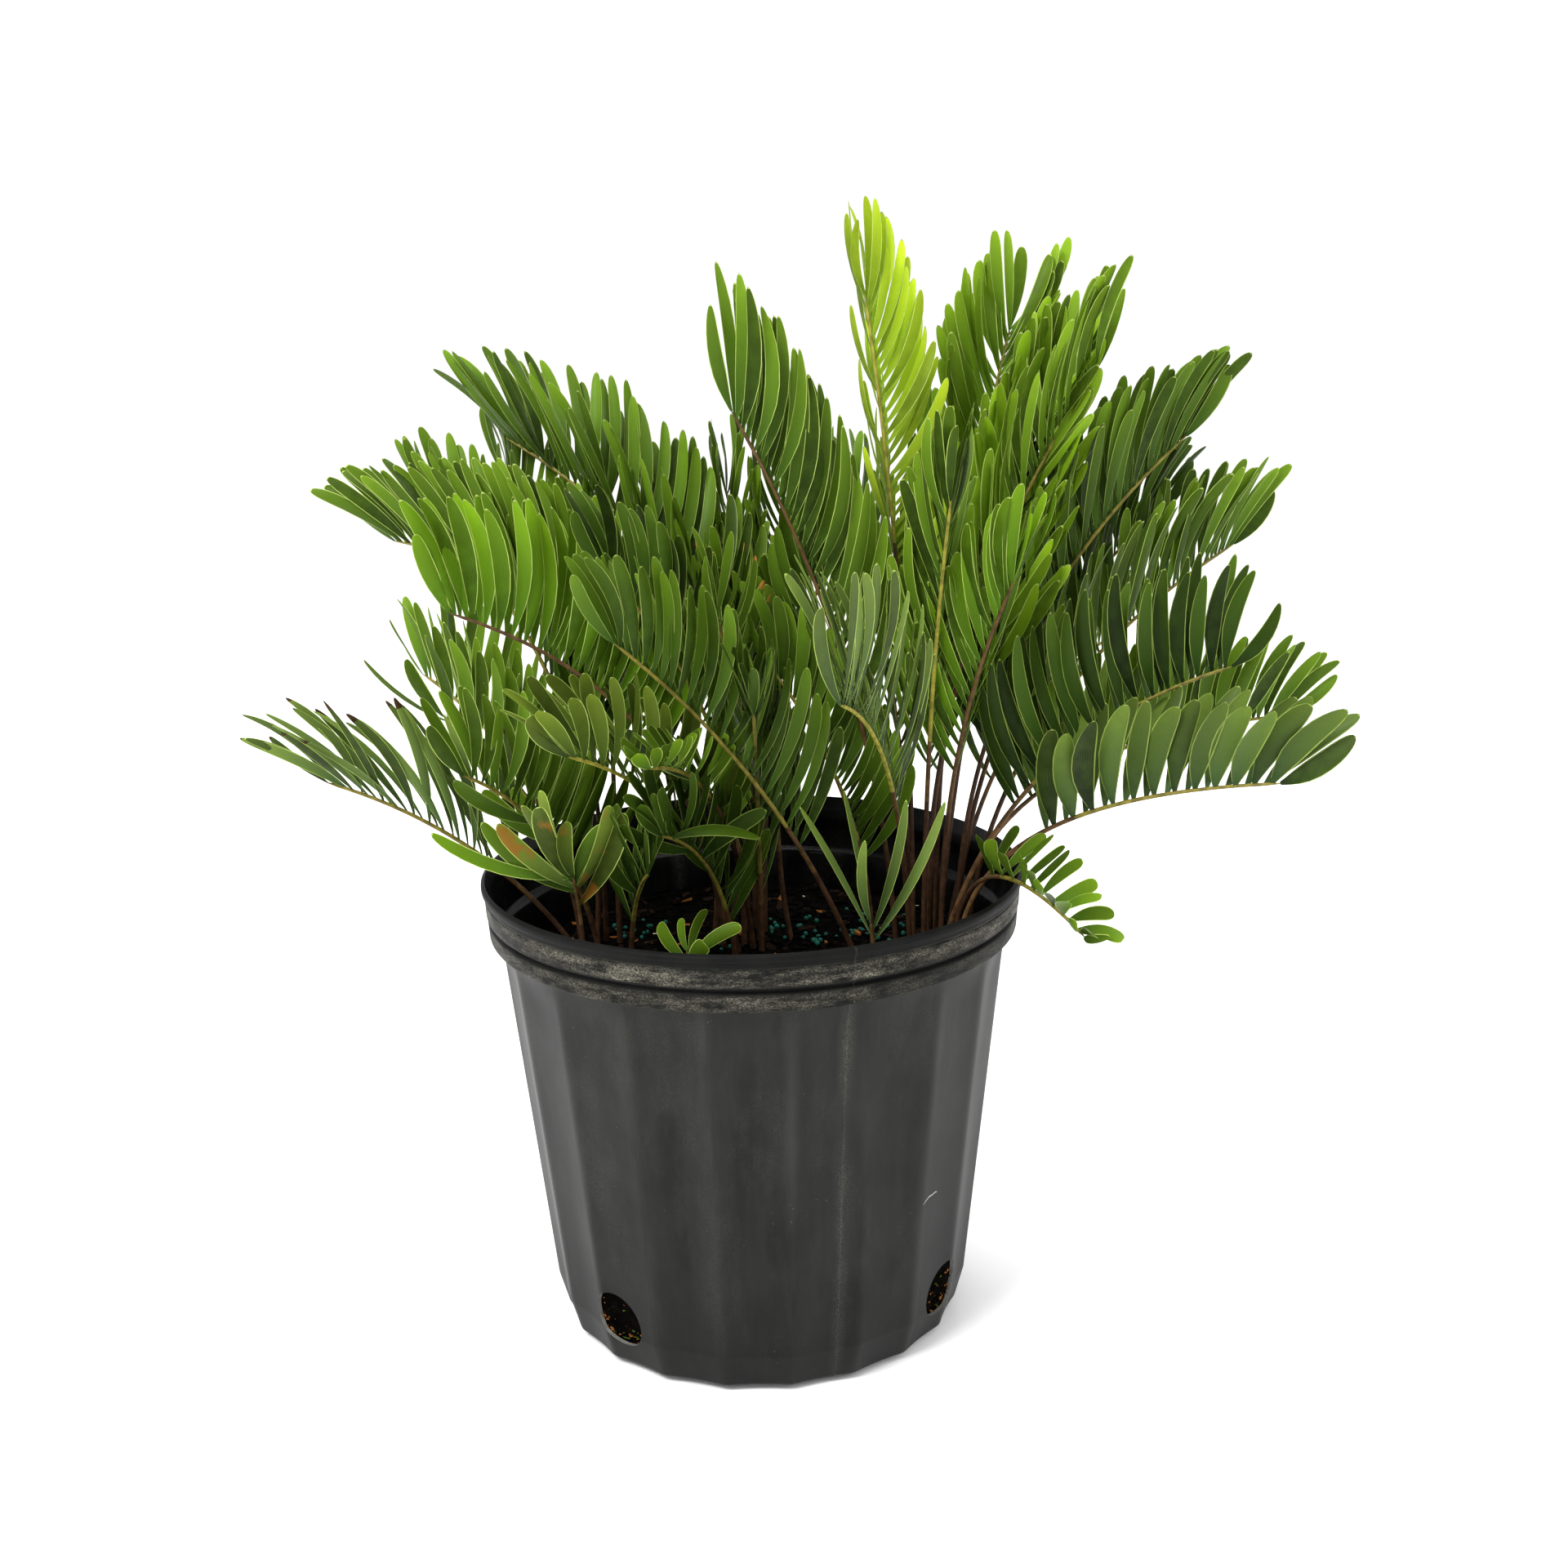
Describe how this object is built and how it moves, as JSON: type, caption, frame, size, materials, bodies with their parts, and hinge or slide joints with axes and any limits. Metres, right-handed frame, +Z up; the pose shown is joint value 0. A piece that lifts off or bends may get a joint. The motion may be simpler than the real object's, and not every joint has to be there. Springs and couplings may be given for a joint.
{
  "type": "potted coontie palm",
  "caption": "Potted coontie palm: a fluted black nursery pot of bark mix with a dense low crown of arching, strap-leaved fronds on thin brown stalks.",
  "frame": {"origin": "centre of the pot's flat underside, on the surface it stands on", "axes": "+Z up, -Y towards the front that the picture shows, +X to the right of that view"},
  "size_m": [0.5296, 0.4008, 0.5734],
  "materials": {
    "pot_plastic": "matte charcoal with dusty scuffs on the bands and the foot",
    "potting_mix": "rough dark bark and peat with fertiliser beads",
    "foliage": "satin leathery leaflets, fresh to dark green, on brown to olive ribs"
  },
  "bodies": {
    "root": {"pot": "pot_plastic", "potting_mix": "potting_mix", "frond_top_young": "foliage", "frond_right_low": "foliage", "frond_right_mid": "foliage", "frond_left_low": "foliage", "frond_front_gray": "foliage", "frond_front_left": "foliage", "frond_upper_left": "foliage", "frond_front_upright": "foliage", "frond_left_fresh": "foliage", "frond_left_far": "foliage", "frond_left_high": "foliage", "frond_right_high": "foliage", "frond_right_fresh": "foliage", "frond_back_right": "foliage", "frond_left_second": "foliage", "frond_left_inner": "foliage", "frond_front_olive": "foliage", "frond_front_tuft": "foliage", "frond_front_small": "foliage", "frond_middle_tipped": "foliage", "frond_middle_back": "foliage", "frond_middle_back_up": "foliage", "frond_middle_left": "foliage", "frond_right_brown": "foliage", "frond_right_dark": "foliage", "frond_right_back": "foliage", "frond_right_behind": "foliage", "frond_right_small": "foliage", "frond_front_sprig": "foliage", "frond_back_left_low": "foliage", "frond_back_left": "foliage", "frond_back_middle_low": "foliage", "frond_back_middle": "foliage", "frond_back_right_low": "foliage", "frond_back_right_mid": "foliage", "frond_back_left_far": "foliage", "frond_back_right_far": "foliage", "frond_back_left_high": "foliage", "frond_back_middle_far": "foliage", "frond_back_right_out": "foliage", "frond_front_left_low": "foliage", "frond_front_dark": "foliage", "frond_front_low": "foliage", "frond_front_low_left": "foliage", "frond_right_inner": "foliage", "frond_middle_right": "foliage"}
  },
  "joints": []
}
